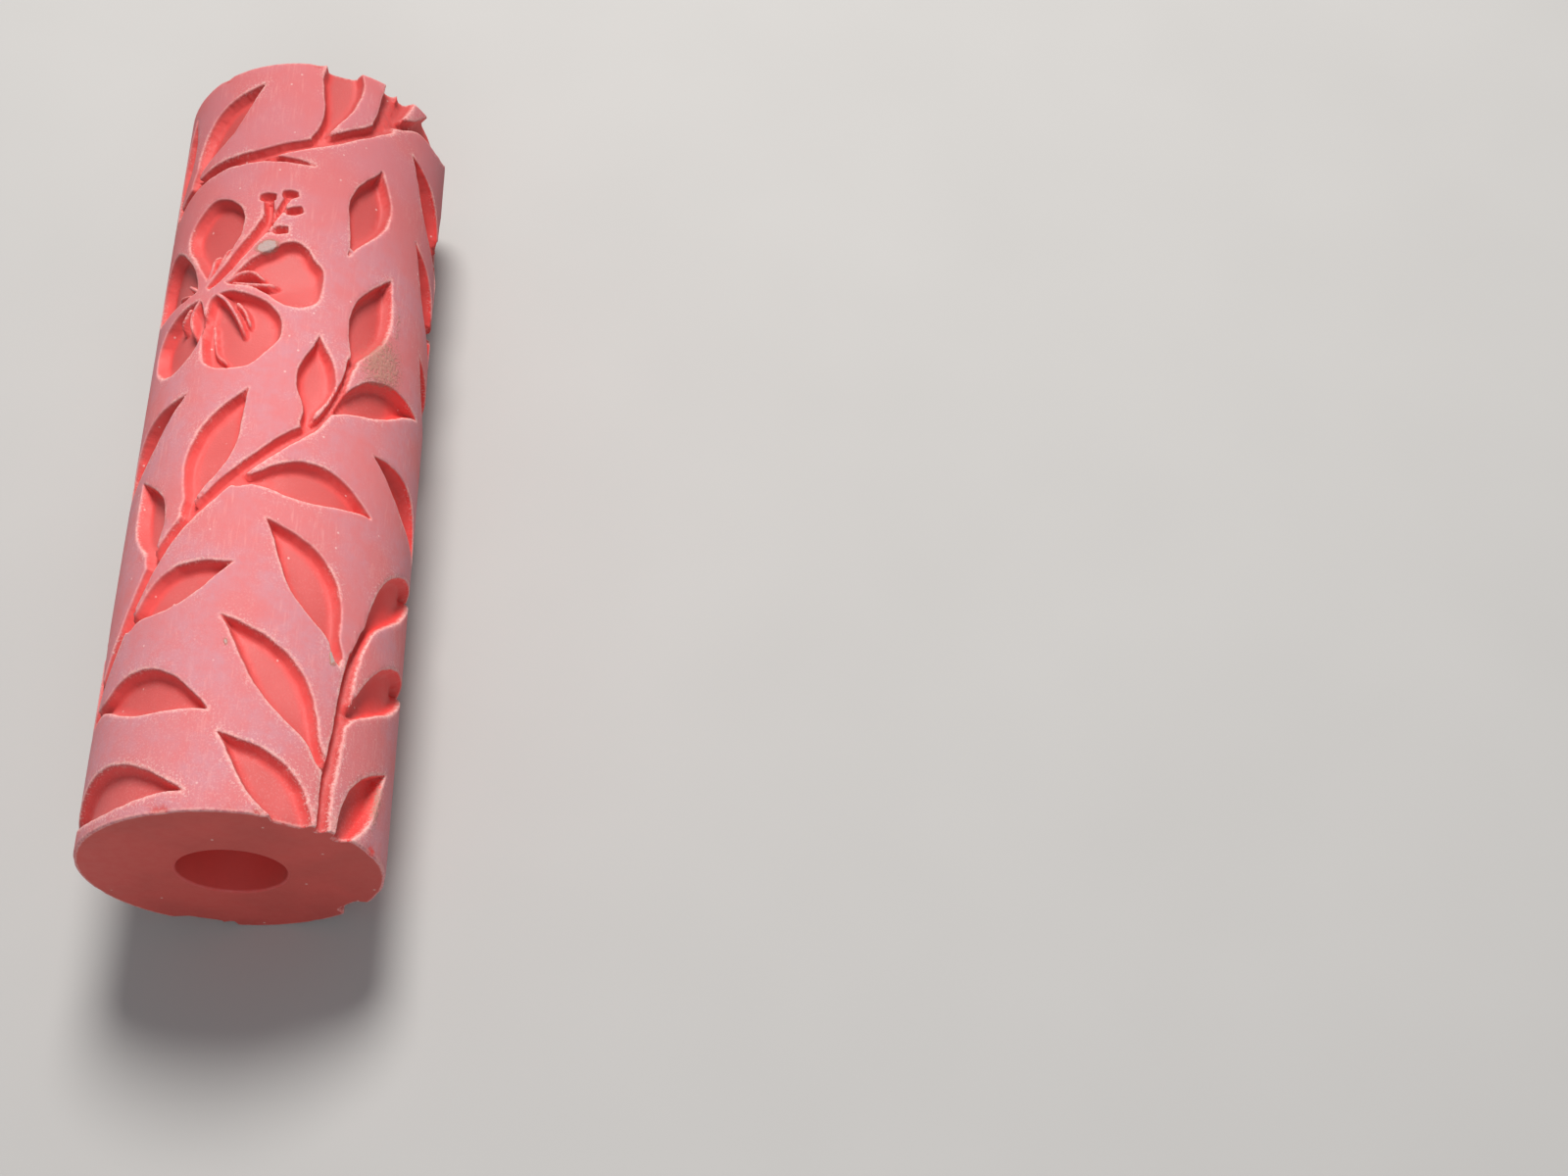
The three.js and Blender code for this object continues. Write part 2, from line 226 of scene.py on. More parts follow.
# %% Stems and leaves
STEMS = [
    (STEM_WIDTH, [(21.2, -84), (20.7, -72), (21.8, -62), (23, -50.5), (24.1, -45.8)]),
    (1.5, [(-38.5, -75), (-34, -65), (-28, -53), (-21, -43), (-12.5, -28.5), (-3.5, -19),
           (6, -9.8), (10.4, -5.9), (12.9, -2.9), (14.3, 0.1), (15.4, 3), (16.3, 5.9),
           (17.3, 11.5)]),
    (STEM_WIDTH, [(-28, -53), (-30, -40), (-36, -27), (-45, -15), (-56, -5), (-70, 2), (-84, 3),
                  (-97, -1), (-104, 8), (-110, 19), (-113, 32), (-113.5, 46)]),
    (STEM_WIDTH, [(-56, -5), (-54, 10), (-49, 24), (-42, 36), (-33, 45.5), (-25, 51.3),
                  (-15, 54.5), (-3, 55.6), (7, 58.7), (15, 63.8), (20.5, 68.5)]),
    (STEM_WIDTH, [(-73, -84), (-72, -72), (-69, -60)]),
]
LEAVES = [
    # On the sprig right of the top line
    ((20.9, -49), (5.6, -24.6), -0.065, 0.15, 1.08),
    ((20, -68.4), (0.2, -43.2), -0.05),
    ((21.4, -83.5), (2.2, -64.4), -0.03),
    ((23, -50.5), (49.5, -22.5), 0.16, 0.27, 0.95),
    ((21.7, -60.2), (50, -41.5), 0.1, 0.1),
    ((22.8, -82.2), (36, -62.6), 0.05, 0.15, 0.87),
    # On the long vine
    ((17, 9), (24, 33.2), 0.01, 0.12, 1.08),
    ((13.9, -1.9), (36.2, 9.2), 0.1, 0.04),
    ((9.9, -6), (10.8, 14.2), -0.04, 0.2, 0.88),
    ((-9, -24), (-0.2, 1.8), 0.05, 0.15, 1.08),
    ((-1.5, -18), (24.5, -18.8), 0.08),
    ((-15, -32), (-21.8, -12), -0.06),
    ((-19.5, -42.4), (1.2, -33.3), 0.03, 0.15, 0.93),
    ((-31, -56.4), (0.3, -60.5), 0.1, 0.25, 1.05),
    ((-37.5, -74.2), (-2, -74.4), 0.075, 0.15, 1.08),
    ((-33, -63), (-45, -46), -0.05),
    # On the vine round the back
    ((-35, -29), (-32, 13), 0.03, 0.35),
    ((-34, -19), (-12.5, 2.8), 0.09, 0.2),
    ((-44, -16), (-47, 9), -0.04),
    ((-40, -21), (-61, -20), -0.06),
    ((-30, -42), (-52, -33), -0.05),
    ((-66, 1), (-79, 22), 0.05),
    ((-82, 3), (-98, 20), 0.06),
    ((-95, 0), (-78, -8), 0.05),
    ((-104, 9), (-122, 23), 0.05),
    ((-112, 22), (-127.5, 46), -0.05),
    ((-113, 42), (-130.8, 65.3), -0.05, 0.15, 1.1),
    ((-113.5, 44), (-108, 70), 0.03),
    ((-113, 33), (-102, 53), -0.03),
    # On the vine over the first blossom
    ((-21, 53.6), (-5, 73.3), 0.06),
    ((5, 57.3), (7.2, 86), -0.13, 0.15, 1.0, 1.2),
    ((16.8, 65.5), (20.5, 88), -0.06, 0.15, 0.46),
    ((18.9, 67), (27, 86), -0.01, 0.15, 0.42),
    ((19.5, 68.2), (48, 80), 0.06, 0.27),
    ((-27, 50), (-24.5, 74.5), 0.02),
    ((-42, 36), (-34, 66), -0.03),
    ((-46, 29), (-53, 54), -0.04),
    ((-53, 13), (-34, 25), -0.06),
    ((-54, 10), (-71, 28), 0.05),
    # On the sprig at the back
    ((-69.5, -62), (-60, -40), 0.04),
    ((-72.5, -75), (-91, -63), 0.05),
    ((-70.5, -66), (-83, -50), 0.05),
    ((-72.5, -79), (-54, -66), -0.05),
    # Standing alone
    ((14.3, 33.6), (19.4, 56.4), -0.03, 0.04, 1.18, 1.2),
    ((44, -18.5), (23.3, -6), -0.08, 0.04),
    ((62, -87), (57, -60), 0.04, 0.04, 1.1),
    ((-52, 84), (-44, 64), 0.05, 0.04),
    ((-96, 86), (-98, 67), -0.05, 0.04),
]
print(len(STEMS), "stems and", len(LEAVES), "leaves")

# %% Shoots and blossoms
SHOOTS = [[(-13, 54.9), (-2, 54.1), (6.5, 52.7)]]
BLOSSOMS = [((-12.4, 25.3), 50), ((-77, 51), 140), ((-87, -28), 275)]
# Each petal's turn from the stamen, the places round its edge, its veins as how far below the face
# each one stands and the places along it, and for one where its floor rises from and to
PETALS = [
    (38.5,
     [(2.5, -1.1), (6.6, -4.2), (11.6, -6.3), (15.9, -6.4), (19.3, -4.2), (21.2, -0.2), (19.7, 3.6),
      (15.5, 6.5), (11.6, 5.6), (6.7, 2.2), (2.9, -0.3)],
     [(0, [(1.6, -0.4), (4.2, -1.3), (8.3, -1.4)]), (0.3, [(4, -2.2), (7, -3.4), (9.5, -4)])]),
    (101,
     [(2, -0.6), (6, -4.2), (11.6, -6.6), (16.3, -7), (19.4, -3.6), (20, 1), (18.4, 5.2), (15, 7),
      (10.5, 6.3), (6, 3.6), (2.3, 0.8)],
     [(0, [(1, 0.2), (3.5, -0.3), (6.5, -0.9)]), (0.3, [(4, 1.2), (8, 2.2)])]),
    (188,
     [(2, 1.2), (4.4, 4.2), (7.5, 6.1), (11, 6.9), (15.1, 5.6), (17.2, 2.8), (17.4, -1),
      (16.2, -4.2), (13.3, -6.3), (9.5, -6.1), (5.6, -3.8), (2.4, -0.6)],
     [(0, [(1.4, 0.6), (3.9, 0.5), (5.8, 1.2), (8.6, 3.6)]), (0.3, [(4, -1.2), (8, -1.8)])]),
    (257,
     [(3.3, 1.3), (4.7, 3.8), (7.9, 5.9), (11.6, 7.7), (15.5, 7.9), (18.6, 6.7), (20.4, 4.7),
      (21.3, 1.2), (21.7, -2.1), (19.7, -5.2), (17.2, -7.2), (14.4, -7.7), (10.5, -5.9),
      (6.8, -3.3), (3.7, -0.4)],
     [(0, [(2.6, 1.6), (5.5, 2.2), (7.8, 2.2), (11.4, 1.8), (14.5, 1)]),
      (0.6, [(8.1, 3.5), (10.7, 3.6), (13.3, 2.9)]),
      (1.2, [(8.5, -2.6), (11.5, -4.1), (14.5, -5.2), (17.5, -4.8)])]),
    (317,
     [(5, 0.2), (6.7, 1.2), (9.1, 3.3), (11.6, 4.8), (14.2, 5.6), (16, 6.8), (18.2, 6.8),
      (20.1, 5.3), (21.1, 2.9), (22.7, 0.9), (22.8, -1.3), (22.3, -4.1), (21.4, -6.8), (18.8, -8.1),
      (15.6, -7.4), (13, -5), (10.6, -3), (8, -1.6), (5.7, -0.6)],
     [(0, [(4.4, 0), (6.2, 0.5), (8, 1.2), (10.1, 1.1), (11.9, -0.3)]),
      (0.2, [(6.4, -0.6), (9.1, -1.6), (11.8, -2.2), (14.3, -2.1)])],
     [(14.5, -8.6), (13.5, -3.2)]),
]
# The stamen, its filaments and its anthers: depth, widths and places
STAMEN = [
    (1.8, (1.1, 2.1, 2.4, 2.5, 2.9, 2.6),
     [(0.8, -0.7), (5.4, -1.3), (11, -0.9), (16, -0.4), (18.8, 0.3)]),
    (1.8, (2.3, 1.9, 2.1), [(17.2, -0.1), (19.4, 1.3), (21.8, 3.7)]),
    (1.8, (1.4, 2.3, 1.5), [(20.9, 5.3), (21.9, 4.1), (22.9, 2.8)]),
    (1.6, (1.3, 1.3, 1.7), [(18.4, -0.6), (21, 0), (23.2, 0.8), (25, 1.3)]),
    (1.8, (1.3, 2.2, 1.3), [(24.1, 2.6), (24.9, 1.4), (26.1, 0.3)]),
    (1.8, (1.2, 2.3, 1.6), [(21.4, -0.9), (22.7, -1.9), (24.1, -2.8)]),
    (1.8, (1.2, 2.2, 1.5), [(16.8, -2.3), (17.8, -3.3), (18.9, -4.3)]),
    (0.9, (0.5, 0.8), [(14.9, -1), (17, -2.6)]),
]

# %% All the pockets together
pockets = [stem(*given) for given in STEMS] + [leaf(*given) for given in LEAVES]
pockets += [shoot(places) for places in SHOOTS]
for hub, heading in BLOSSOMS:
    pockets += blossom(hub, heading)
print(len(pockets), "pockets")

# %% [markdown]
# ## How far is a point from an edge?
# With a signed distance, negative inside a pocket, the carver's whole tool path is one number per
# point: walls, floors, rounded rims and later even the clay that clings to the rims all follow
# from it. Two pockets join by taking the smaller distance.

# %% The distance to one outline
REACH = 2.6


def distance_to(points, edge):
    first, second = edge, np.roll(edge, -1, axis=0)
    run = second - first
    rel = points[:, None, :] - first[None]
    share = (rel * run).sum(2) / np.maximum((run * run).sum(1), 1e-9)
    gap = rel - np.clip(share, 0, 1)[..., None] * run
    nearest = np.sqrt((gap * gap).sum(2).min(1))
    rise = np.where(np.abs(run[:, 1]) < 1e-9, 1e-9, run[:, 1])
    level = points[:, None, 1]
    crosses = (first[:, 1] > level) != (second[:, 1] > level)
    crosses &= points[:, None, 0] < first[:, 0] + (level - first[:, 1]) * run[:, 0] / rise
    return np.where(crosses.sum(1) % 2 == 1, -nearest, nearest)


# %% [markdown]
# A cast edge is never a ruled line. A little noise is added to the distance, so every edge
# wavers by a tenth of a millimetre. The noise is read on the wrapped face, in three dimensions,
# so that it also fits where the two sides of the sheet meet.

# %% The waver of the edges
def wrapped(points, radius):
    angle = points[:, 0] / OUTER_RADIUS
    return np.stack([radius * np.sin(angle), points[:, 1], radius * np.cos(angle)], 1)


def noise_at(points, pitch):
    """Smooth noise, read where the sheet's points come to lie on the roller"""
    return np.array([noise.noise(Vector(place) * pitch) for place in wrapped(points, OUTER_RADIUS)])


def waver(points):
    return 0.16 * noise_at(points, 0.45) + 0.07 * noise_at(points, 1.7)


# %% [markdown]
# ## The wall's profile
# From the outer face inward: a small rounded rim, a steep wall, a fillet and a floor that dishes
# a little. The profile is a table of way in and depth, and np.interp reads between its rows. Each
# pocket may stop it at its own depth, and the deepest pocket at a point wins. A vein has a table of
# its own, from its middle line outward, and is nowhere cut deeper than that.

# %% Distance and depth at any point of the sheet
WAY_IN = [-0.22, -0.05, 0.1, 0.55, 0.8, 1.1, 2.2, 4.0]
DEPTH = [0.0, 0.06, 0.42, 1.9, 2.12, 2.25, 2.4, 2.5]
VEIN_WAY = [0.0, 0.18, 0.36, 0.55, 0.8, 1.05]
VEIN_DEPTH = [0.0, 0.05, 0.32, 1.1, 1.9, 2.5]
VEIN_END = 1.5
HALF_VEIN = 0.3


def share_along(points, start, end):
    run = end - start
    return np.clip((points - start) @ run / (run @ run), 0, 1)


def beside_vein(points, line, top):
    """How far the points lie from a vein's middle line, and how deep they may be cut"""
    beside = distance_to(points, np.concatenate([line, line[::-1]]))
    ends = share_along(points, line[0], line[-1]) ** 6
    return beside, np.interp(beside, VEIN_WAY, VEIN_DEPTH) + top + (VEIN_END - top) * ends


def measure(points, with_depth=False):
    """The signed distance to the nearest pocket's edge, and with it the depth"""
    offset = waver(points)
    nearest = np.full(len(points), REACH)
    depth = np.zeros(len(points))
    for cut in pockets:
        low, high = cut["edge"].min(0) - REACH, cut["edge"].max(0) + REACH
        for shift in (-AROUND, 0, AROUND):
            moved = points + (shift, 0)
            near = np.flatnonzero(((moved > low) & (moved < high)).all(1))
            if not len(near):
                continue
            away = distance_to(moved[near], cut["edge"])
            if with_depth:
                along = share_along(moved[near], cut["start"], cut["end"])
                floor = cut["shallow"] + (cut["deep"] - cut["shallow"]) * along
                sunk = np.interp(-away - offset[near], WAY_IN, DEPTH) * floor / POCKET_DEPTH
                for line, top in cut["ridges"]:
                    beside, at_most = beside_vein(moved[near], line, top)
                    sunk = np.minimum(sunk, at_most)
                    away = np.maximum(away, -3 * (beside - HALF_VEIN).clip(0))
                depth[near] = np.maximum(depth[near], sunk)
            nearest[near] = np.minimum(nearest[near], away)
    return (nearest + offset, depth) if with_depth else nearest + offset


# %% [markdown]
# ## The sheet
# We start from Blender's own grid. One fine enough for crisp rims would have millions of faces, so
# its cells are coarse, and halved where they have to be small: near every edge, again at the tips
# of leaves and in the stamens, and once more along the veins.

# %% A plain grid
CELL = 1.6
RIM_ROUNDING = 0.4
sheet = bmesh.new()
columns, rows = round(AROUND / CELL), round(2 * HALF_LENGTH / CELL)
bmesh.ops.create_grid(sheet, x_segments=columns, y_segments=rows, size=0.5)
bmesh.ops.scale(sheet, vec=(AROUND, 2 * (HALF_LENGTH - RIM_ROUNDING), 1), verts=sheet.verts)
bmesh.ops.triangulate(sheet, faces=sheet.faces, quad_method="ALTERNATE")
print(len(sheet.verts), "vertices in the plain grid")


# %% Halve the edges where they are too long
def places_of(verts):
    return np.array([vert.co[:2] for vert in verts])


def refine(mesh, longest, wanted):
    mesh.verts.index_update()
    chosen = wanted(places_of(mesh.verts))
    edges = [edge for edge in mesh.edges if edge.calc_length() > longest
             and any(chosen[vert.index] for vert in edge.verts)]
    bmesh.ops.subdivide_edges(mesh, edges=edges, cuts=1)
    bmesh.ops.triangulate(mesh, faces=[face for face in mesh.faces if len(face.verts) > 3])
    return len(mesh.faces)


def near_to(given, reach):
    """A test that tells which places lie near any of the given ones"""
    finder = kdtree.KDTree(len(given))
    for number, place in enumerate(wrapped(np.array(given), OUTER_RADIUS)):
        finder.insert(place, number)
    finder.balance()

    def is_near(points):
        return np.array([finder.find(place)[2] < reach for place in wrapped(points, OUTER_RADIUS)])

    return is_near


NEAR_EDGE, NEAR_DETAIL, NEAR_VEIN = 1.2, 1.5, 0.85


def at_edge(points):
    return np.abs(measure(points)) < NEAR_EDGE


at_detail = near_to([place for cut in pockets for place in cut["fine"]], NEAR_DETAIL)
vein_places = [place for cut in pockets for line, top in cut["ridges"] for place in line]
at_vein = near_to(vein_places, NEAR_VEIN)
print(refine(sheet, 0.7 * CELL, at_edge), "triangles with fine edges")
print(refine(sheet, 0.35 * CELL, at_detail), "triangles with fine details")
print(refine(sheet, 0.18 * CELL, at_vein), "triangles with fine veins")
settled = sheet.verts.layers.int.new("settled")

# %% [markdown]
# Then rows of vertices are laid exactly along the lines where the distance has a few chosen
# values, like contour lines on a map: every edge of the grid that crosses such a line is split
# where it crosses. A vertex that lies very near the line slides onto it instead, which avoids
# sliver triangles.

# %% Where the edges cross one contour
def crossings(mesh, level):
    """The edges that cross a contour, the shares of their way at which they do, and the places"""
    mesh.verts.index_update()
    places = places_of(mesh.verts)
    away = measure(places) - level
    edges = list(mesh.edges)
    ends = np.array([(edge.verts[0].index, edge.verts[1].index) for edge in edges])
    crossing = np.flatnonzero(away[ends[:, 0]] * away[ends[:, 1]] < 0)
    first, second = ends[crossing].T
    start, run = places[first], places[second] - places[first]
    low, high = np.zeros(len(crossing)), np.ones(len(crossing))
    at_low, at_high = away[first], away[second]
    for step in range(3):
        share = low + (high - low) * at_low / (at_low - at_high)
        there = measure(start + run * share[:, None]) - level
        same = there * at_low > 0
        low, at_low = np.where(same, share, low), np.where(same, there, at_low)
        high, at_high = np.where(same, high, share), np.where(same, at_high, there)
    return [edges[i] for i in crossing], share, start + run * share[:, None]


# %% Lay one row of vertices along a contour
CONTOURS = [0.22, 0.02, -0.1, -0.55, -1.1]
SLIDE = 0.22


def lay_contour(mesh, number, level):
    edges, shares, places = crossings(mesh, level)
    for edge, share, place in zip(edges, shares, places):
        for vert, near in zip(edge.verts, (share, 1 - share)):
            if near < SLIDE and not vert[settled] and not vert.is_boundary:
                vert.co.xy = place
                vert[settled] = number
    for edge, share, place in zip(edges, shares, places):
        if any(vert[settled] == number for vert in edge.verts):
            continue
        fresh = bmesh.utils.edge_split(edge, edge.verts[0], share)[1]
        fresh.co.xy = place
        fresh[settled] = number
    row = [vert for vert in mesh.verts if vert[settled] == number]
    bmesh.ops.connect_verts(mesh, verts=row)
    bmesh.ops.triangulate(mesh, faces=[face for face in mesh.faces if len(face.verts) > 3])
    return len(row)


for number, level in enumerate(CONTOURS, 1):
    print("contour", level, "has", lay_contour(sheet, number, level), "vertices")
print(len(sheet.faces), "triangles on the sheet")

# %% [markdown]
# ## Sinking and wrapping
# Now the depth is read once for every vertex, and kept together with the distance as named
# attributes, because the materials later ask for both. Clay that stayed behind fills a few
# places a little, and small chips are missing along both rims. Then the sheet is bent round the
# axis: the way across becomes an angle, and the depth is taken off the radius.

# %% Clay that stayed behind
# Each spot: where it lies, its half sizes along and across its own way, that way in degrees, and
# how thickly the clay lies
CLAY_SPOTS = [
    ((-0.4, 33.1), (2.1, 1.4), 20, 1.6), ((19.3, -48), (1.5, 0.7), 100, 1.4),
    ((1.6, -48.3), (0.9, 0.5), 60, 1.4), ((26.5, 23.5), (9, 0.9), 88, 0.45),
    ((23.6, 13.8), (8, 6.3), 80, 0.6), ((33.5, -69.5), (7, 1.6), 78, 0.5),
    ((-60, 8), (3.5, 0.9), 30, 0.7), ((-95, 35), (4.0, 0.8), 80, 0.6),
]


def clay_left(points):
    thick = np.zeros(len(points))
    for (around, along), (long, wide), degrees, most in CLAY_SPOTS:
        rel = points - on_sheet((around, along))
        rel[:, 0] = (rel[:, 0] + AROUND / 2) % AROUND - AROUND / 2
        turn = math.radians(degrees)
        along_it = rel @ (math.cos(turn), math.sin(turn)) / long
        across_it = rel @ (-math.sin(turn), math.cos(turn)) / wide
        thick = np.maximum(thick, most * (1.3 - np.hypot(along_it, across_it)).clip(0, 1))
    return thick.clip(0, 1)


# %% Sink the sheet
FILLS_FROM = 0.6
CHIP_DEPTH = 1.5
CHIP_WIDTH = 1.6

places = places_of(sheet.verts)
away, depth = measure(places, with_depth=True)
clay = clay_left(places)
depth *= 1 - ((clay - FILLS_FROM) / (1 - FILLS_FROM)).clip(0)
uneven = noise_at(places, 0.16)
depth += np.where(depth > 1, 0.1 * uneven, 0) + 0.03 * np.abs(uneven)
at_rim = (1 - (HALF_LENGTH - np.abs(places[:, 1])) / CHIP_WIDTH).clip(0)
depth = np.maximum(depth, CHIP_DEPTH * (noise_at(places, 0.35) - 0.2).clip(0) * at_rim)
print("deepest", round(float(depth.max()), 2), "mm")

# %% Wrap it round the axis
NAMES = ("edge_distance", "sunk", "clay", "facing_light")
layers = {name: sheet.verts.layers.float.new(name) for name in NAMES}
values_there = zip(away, depth, clay, np.zeros(len(clay)))
for vert, place, values in zip(sheet.verts, wrapped(places, OUTER_RADIUS - depth), values_there):
    vert.co = place
    for layer, value in zip(layers.values(), values):
        vert[layer] = value
bmesh.ops.remove_doubles(sheet, verts=sheet.verts, dist=0.02)
print(sum(edge.is_boundary for edge in sheet.edges), "edges on the two rims")

# %% [markdown]
# ## The ends and the bore
# The sheet is now a tube with two open rims, wavy where pockets run out over them. Extruding the
# rim's edges and moving the new vertices makes one ring after the other: a small rounding and the
# flat face, and inside a regular circle the rounding of the bore's mouth. Triangles fill the flat
# between the uneven ring and the circle, and a bridge joins the two ends through the middle.

# %% Rings from an open rim
def radius_of(vert):
    return math.hypot(vert.co.x, vert.co.z)


def extrude_ring(mesh, edges, move):
    """Pulls a new ring out of a loop of edges; move gives a vertex its new radius and its y"""
    made = bmesh.ops.extrude_edge_only(mesh, edges=edges)["geom"]
    for vert in (item for item in made if isinstance(item, bmesh.types.BMVert)):
        radius, y = move(vert)
        factor = radius / radius_of(vert)
        vert.co = (vert.co.x * factor, y, vert.co.z * factor)
    return [item for item in made if isinstance(item, bmesh.types.BMEdge) and item.is_boundary]


def open_rim(mesh, side):
    return [edge for edge in mesh.edges if edge.is_boundary and edge.verts[0].co.y * side > 0]


# %% Close one end
# Rings of the rim: how much nearer to the axis than the last one, and how far back from the end
RIM_RINGS = ((0.05, 0.2), (0.15, 0.05), (0.2, 0.0), (0.3, 0.0))
# Rings of the mouth: how much wider than the bore, and how far back from the end
MOUTH_RINGS = ((0.9, 0), (MOUTH_ROUNDING, 0), (0.22, 0.07), (0.07, 0.22), (0, MOUTH_ROUNDING))
UNCUT_RADIUS = OUTER_RADIUS - 3.5
CIRCLE_RADIUS = 14
CIRCLE_SEGMENTS = 120


def close_end(mesh, side):
    """The rounded rim, the flat face and the rounded mouth at one end; gives the bore's loop"""
    end = side * HALF_LENGTH
    loop = open_rim(mesh, side)
    for step, back in RIM_RINGS:
        loop = extrude_ring(mesh, loop, lambda vert: (radius_of(vert) - step, end - side * back))
    loop = extrude_ring(mesh, loop, lambda vert: (UNCUT_RADIUS, end))
    ring = list(dict.fromkeys(vert for edge in loop for vert in edge.verts))
    bmesh.ops.remove_doubles(mesh, verts=ring, dist=0.05)
    loop = open_rim(mesh, side)
    turned = bmesh.ops.create_circle(mesh, radius=CIRCLE_RADIUS, segments=CIRCLE_SEGMENTS)["verts"]
    for vert in turned:
        vert.co = (vert.co.x, end, vert.co.y)
    circle = list(dict.fromkeys(edge for vert in turned for edge in vert.link_edges))
    bmesh.ops.triangle_fill(mesh, edges=loop + circle, use_beauty=True, normal=(0, side, 0))
    for wider, back in MOUTH_RINGS:
        circle = extrude_ring(mesh, circle, lambda vert: (BORE_RADIUS + wider, end - side * back))
    return circle


near_loop = close_end(sheet, -1)
far_loop = close_end(sheet, 1)
bmesh.ops.bridge_loops(sheet, edges=near_loop + far_loop)
print("open edges left:", sum(edge.is_boundary for edge in sheet.edges))

# %% [markdown]
# ## From the bmesh to a piece
# Slivers are dissolved and the normals are made to point outward. Every face gets a material slot
# by where it lies: the dusted outer face, the two flat ends, or the bore. The last attribute,
# "facing_light", tells how much each place faces the side the main light comes from; the shading
# uses it to paint light on the rims and shade on the walls. Then the mesh goes to metres and
# becomes the piece that is shown.

# %% A material slot for every face
SLIVER, FLATNESS = 0.004, 0.02
bmesh.ops.dissolve_degenerate(sheet, edges=sheet.edges, dist=SLIVER)
bmesh.ops.triangulate(sheet, faces=[face for face in sheet.faces if len(face.verts) > 4])
bmesh.ops.recalc_face_normals(sheet, faces=sheet.faces)
for face in sheet.faces:
    face.smooth = True
    middle = face.calc_center_median()
    if math.hypot(middle.x, middle.z) < BORE_RADIUS + MOUTH_ROUNDING:
        face.material_index = 2
    elif abs(middle.y) > HALF_LENGTH - FLATNESS:
        face.material_index = 1
    if face.material_index:
        for vert in face.verts:
            vert[layers["edge_distance"]] = REACH
            vert[layers["sunk"]] = 0
print(sum(face.material_index == 1 for face in sheet.faces), "faces on the flat ends")

# %% Which places face the light
# How much a place faces towards the far end and a little across the roller, the side the main light
# comes from; it steers painted light on the rims and painted shade on the walls
LIT_SIDE_ALONG, LIT_SIDE_ACROSS = 0.95, -0.3
sheet.normal_update()
for vert in sheet.verts:
    across = Vector((vert.co.z, 0, -vert.co.x)).normalized()
    lit_side = LIT_SIDE_ALONG * Vector((0, 1, 0)) + LIT_SIDE_ACROSS * across
    vert[layers["facing_light"]] = vert.normal.dot(lit_side)
print(sum(vert[layers["facing_light"]] > 0.3 for vert in sheet.verts), "vertices face the brush")

# %% The finished piece
bmesh.ops.scale(sheet, vec=(MM, MM, MM), verts=sheet.verts)
bmesh.ops.translate(sheet, vec=(0, 0, OUTER_RADIUS * MM), verts=sheet.verts)

carved = bpy.data.meshes.new("carved_roller")
sheet.to_mesh(carved)
sheet.free()
roller = bpy.data.objects.new("carved_roller", carved)
bpy.context.scene.collection.objects.link(roller)
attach(roller, "root")
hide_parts("roller_body")
triangles = sum(len(face.vertices) - 2 for face in carved.polygons)
print(len(carved.polygons), "faces,", triangles, "triangles")

# %% [markdown]
# ## Effects that several finishes share
# A node group is a small program with named inputs and outputs. The three finishes below share
# three of them: a cloudy mottle, fine grain for the bump, and scattered pale specks of dry clay.

# %% Small helpers for nodes
def add_node(tree, kind, inputs=(), **settings):
    node = tree.nodes.new(kind)
    for name, value in settings.items():
        setattr(node, name, value)
    for name, value in dict(inputs).items():
        feed(tree, node.inputs[name], value)
    return node


def feed(tree, socket, value):
    if isinstance(value, bpy.types.NodeSocket):
        tree.links.new(value, socket)
    else:
        socket.default_value = value


def maths(tree, operation, a, b=0.0, clamp=False):
    node = add_node(tree, "ShaderNodeMath", operation=operation, use_clamp=clamp)
    feed(tree, node.inputs[0], a)
    feed(tree, node.inputs[1], b)
    return node.outputs[0]


def times(tree, a, b):
    return maths(tree, "MULTIPLY", a, b)


def larger(tree, a, b):
    return maths(tree, "MAXIMUM", a, b)


def ramp(tree, value, low, high, to_low=0.0, to_high=1.0):
    """A smooth step from one value to another"""
    inputs = {"Value": value, "From Min": low, "From Max": high,
              "To Min": to_low, "To Max": to_high}
    node = add_node(tree, "ShaderNodeMapRange", inputs, interpolation_type="SMOOTHSTEP")
    return node.outputs[0]


def mix(tree, factor, a, b, blend="MIX"):
    node = add_node(tree, "ShaderNodeMix", data_type="RGBA", blend_type=blend)
    feed(tree, node.inputs[0], factor)
    feed(tree, node.inputs[6], a)
    feed(tree, node.inputs[7], b)
    return node.outputs[2]


def cloud(tree, vector, scale, detail=3.0, roughness=0.55):
    inputs = {"Vector": vector, "Scale": scale, "Detail": detail, "Roughness": roughness}
    return add_node(tree, "ShaderNodeTexNoise", inputs).outputs[0]


def mapped(tree, place, scale, location=(0, 0, 0)):
    inputs = {"Vector": place, "Scale": scale, "Location": location}
    return add_node(tree, "ShaderNodeMapping", inputs).outputs[0]


def new_group(name, inputs, outputs):
    tree = bpy.data.node_groups.new(name, "ShaderNodeTree")
    for label, kind in inputs:
        tree.interface.new_socket(label, in_out="INPUT", socket_type=kind)
    for label, kind in outputs:
        tree.interface.new_socket(label, in_out="OUTPUT", socket_type=kind)
    return tree, tree.nodes.new("NodeGroupInput"), tree.nodes.new("NodeGroupOutput")


# %% Mottle, grain and specks
FLOAT, VECTOR = "NodeSocketFloat", "NodeSocketVector"


def make_mottle():
    """Broad clouds, and small blotches as strong as they are asked for"""
    tree, given, result = new_group("rubber_mottle", [("Place", VECTOR), ("Blotches", FLOAT)],
                                    [("Clouds", FLOAT), ("Blotches", FLOAT)])
    clouds = ramp(tree, cloud(tree, given.outputs["Place"], 0.075, 3, 0.5), 0.36, 0.64)
    blotches = ramp(tree, cloud(tree, given.outputs["Place"], 0.5, 4, 0.6), 0.38, 0.66)
    tree.links.new(clouds, result.inputs["Clouds"])
    tree.links.new(times(tree, blotches, given.outputs["Blotches"]), result.inputs["Blotches"])
    return tree


